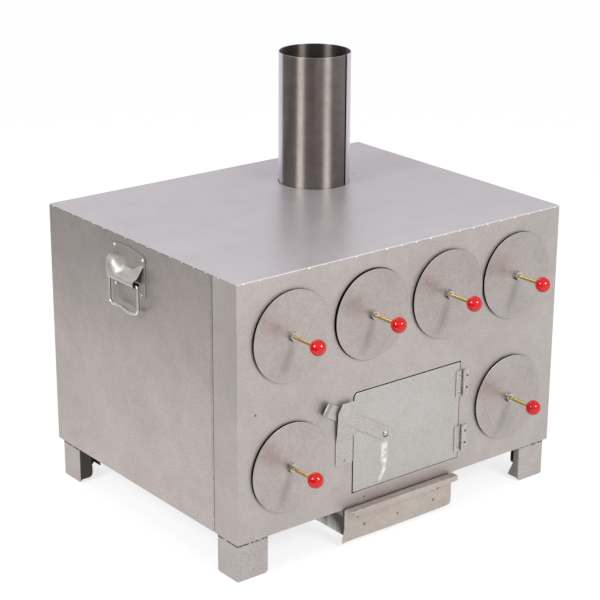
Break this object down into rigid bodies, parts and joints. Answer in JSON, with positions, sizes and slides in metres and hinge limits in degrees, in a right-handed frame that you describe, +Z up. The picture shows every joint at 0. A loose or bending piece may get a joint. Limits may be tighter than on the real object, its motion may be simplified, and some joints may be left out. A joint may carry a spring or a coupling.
{
  "type": "sweet potato roaster",
  "caption": "Sheet-steel charcoal roaster cabinet on folded legs, with round drawers on rod-and-ball handles, a latched fire door, an ash tray, a flue pipe and drop handles.",
  "frame": {"origin": "on the ground, under the middle of the whole roaster's box", "axes": "+Z up, +Y from the front with the drawers to the back, +X to the right as seen from the front"},
  "size_m": [0.7382, 0.6262, 0.7445],
  "materials": {
    "textured_steel": "pale grey sheet with a fine silver texture",
    "satin_steel": "smooth satin",
    "disc_steel": "satin, with faint smears",
    "flue_steel": "dark, brushed along the pipe",
    "inner_steel": "plain mill finish",
    "cast_iron": "rough casting",
    "zinc_steel": "pale zinc plating",
    "yellow_rod": "yellow zinc plating",
    "red_knob": "glossy red"
  },
  "bodies": {
    "housing": {"front_panel": "textured_steel", "top_panel": "satin_steel", "left_side_panel": "textured_steel", "right_side_panel": "textured_steel", "back_panel": "textured_steel", "bottom_panel": "inner_steel", "leg_front_left": "textured_steel", "leg_front_right": "textured_steel", "leg_rear_left": "textured_steel", "leg_rear_right": "textured_steel", "flue_pipe": "flue_steel", "roasting_tube_1": "inner_steel", "roasting_tube_2": "inner_steel", "roasting_tube_3": "inner_steel", "roasting_tube_4": "inner_steel", "roasting_tube_5": "inner_steel", "roasting_tube_6": "inner_steel", "fire_box": "inner_steel", "fire_grate": "cast_iron", "tray_rail_left": "inner_steel", "tray_rail_right": "inner_steel", "hinge_upper_frame_leaf": "zinc_steel", "hinge_lower_frame_leaf": "zinc_steel", "hinge_upper_pin": "zinc_steel", "hinge_lower_pin": "zinc_steel", "latch_keeper": "zinc_steel", "handle_plate_left": "textured_steel", "handle_plate_right": "textured_steel"},
    "drawer_1": {"drawer_1_disc": "disc_steel", "drawer_1_tray": "inner_steel", "drawer_1_rod": "yellow_rod", "drawer_1_knob": "red_knob"},
    "drawer_2": {"drawer_2_disc": "disc_steel", "drawer_2_tray": "inner_steel", "drawer_2_rod": "yellow_rod", "drawer_2_knob": "red_knob"},
    "drawer_3": {"drawer_3_disc": "disc_steel", "drawer_3_tray": "inner_steel", "drawer_3_rod": "yellow_rod", "drawer_3_knob": "red_knob"},
    "drawer_4": {"drawer_4_disc": "disc_steel", "drawer_4_tray": "inner_steel", "drawer_4_rod": "yellow_rod", "drawer_4_knob": "red_knob"},
    "drawer_5": {"drawer_5_disc": "disc_steel", "drawer_5_tray": "inner_steel", "drawer_5_rod": "yellow_rod", "drawer_5_knob": "red_knob"},
    "drawer_6": {"drawer_6_disc": "disc_steel", "drawer_6_tray": "inner_steel", "drawer_6_rod": "yellow_rod", "drawer_6_knob": "red_knob"},
    "fire_door": {"fire_door": "textured_steel", "hinge_upper_door_leaf": "zinc_steel", "hinge_lower_door_leaf": "zinc_steel", "latch_bolt": "zinc_steel"},
    "latch": {"latch_arm": "zinc_steel"},
    "ash_tray": {"ash_tray": "textured_steel"},
    "bail_left": {"bail_left": "zinc_steel"},
    "bail_right": {"bail_right": "zinc_steel"}
  },
  "joints": [
    {"name": "drawer_1_slide", "type": "slide", "parent": "housing", "child": "drawer_1", "axis": [0, -1, 0], "range_m": [0, 0.4]},
    {"name": "drawer_2_slide", "type": "slide", "parent": "housing", "child": "drawer_2", "axis": [0, -1, 0], "range_m": [0, 0.4]},
    {"name": "drawer_3_slide", "type": "slide", "parent": "housing", "child": "drawer_3", "axis": [0, -1, 0], "range_m": [0, 0.4]},
    {"name": "drawer_4_slide", "type": "slide", "parent": "housing", "child": "drawer_4", "axis": [0, -1, 0], "range_m": [0, 0.4]},
    {"name": "drawer_5_slide", "type": "slide", "parent": "housing", "child": "drawer_5", "axis": [0, -1, 0], "range_m": [0, 0.4]},
    {"name": "drawer_6_slide", "type": "slide", "parent": "housing", "child": "drawer_6", "axis": [0, -1, 0], "range_m": [0, 0.4]},
    {"name": "fire_door_hinge", "type": "hinge", "parent": "housing", "child": "fire_door", "pos_m": [0.1322, -0.23647, 0.17925], "axis": [0, 0, 1], "range_deg": [0, 90]},
    {"name": "latch_lift", "type": "hinge", "parent": "fire_door", "child": "latch", "pos_m": [-0.0441, -0.23442, 0.1808], "axis": [0, 1, 0], "range_deg": [0, 28]},
    {"name": "ash_tray_slide", "type": "slide", "parent": "housing", "child": "ash_tray", "axis": [0, -1, 0], "range_m": [0, 0.32]},
    {"name": "bail_left_swing", "type": "hinge", "parent": "housing", "child": "bail_left", "pos_m": [-0.3615, 0.06463, 0.436], "axis": [0, 1, 0], "range_deg": [0, 90]},
    {"name": "bail_right_swing", "type": "hinge", "parent": "housing", "child": "bail_right", "pos_m": [0.3615, 0.06463, 0.436], "axis": [0, -1, 0], "range_deg": [0, 90]}
  ]
}
